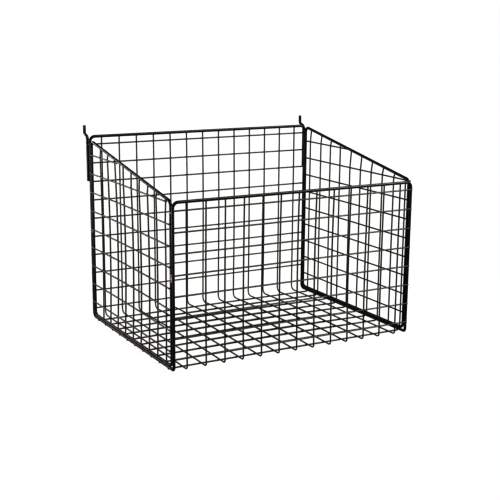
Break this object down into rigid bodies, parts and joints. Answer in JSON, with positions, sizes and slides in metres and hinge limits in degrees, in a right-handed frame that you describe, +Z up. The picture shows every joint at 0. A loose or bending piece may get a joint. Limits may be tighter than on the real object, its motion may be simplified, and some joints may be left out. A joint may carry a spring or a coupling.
{
  "type": "wire mesh container",
  "caption": "Hanging wire mesh basket with an open, sloping top: a bent rod frame, tack-welded side panels and two back hooks for a slotted wall panel.",
  "frame": {"origin": "centre of the footprint of the whole part, hooks included, at the underside of the floor's cross wires", "axes": "+X is the width, left to right as seen from the low front; +Y runs from the low front to the high back, where the hooks are; +Z is up"},
  "size_m": [0.3464, 0.2818, 0.2669],
  "materials": {
    "frame_coat": "black powder coat, semi-gloss, fine orange peel",
    "mesh_coat": "black powder coat, semi-gloss",
    "hook_coat": "black powder coat, semi-gloss, worn a little at the tips",
    "weld_coat": "black powder coat over uneven weld metal, slightly glossier, rubbed on the high spots"
  },
  "bodies": {
    "root": {"back_cross_wires": "mesh_coat", "floor_cross_wires": "mesh_coat", "front_cross_wires": "mesh_coat", "left_hook": "hook_coat", "left_level_wires": "mesh_coat", "left_panel_welds": "weld_coat", "left_side_frame_rod": "frame_coat", "left_upright_wires": "mesh_coat", "line_wire_01": "mesh_coat", "line_wire_02": "mesh_coat", "line_wire_03": "mesh_coat", "line_wire_04": "mesh_coat", "line_wire_05": "mesh_coat", "line_wire_06": "mesh_coat", "line_wire_07": "mesh_coat", "line_wire_08": "mesh_coat", "line_wire_09": "mesh_coat", "line_wire_10": "mesh_coat", "line_wire_11": "mesh_coat", "line_wire_12": "mesh_coat", "line_wire_13": "mesh_coat", "main_frame_rod": "frame_coat", "right_hook": "hook_coat", "right_level_wires": "mesh_coat", "right_panel_welds": "weld_coat", "right_side_frame_rod": "frame_coat", "right_upright_wires": "mesh_coat"}
  },
  "joints": []
}
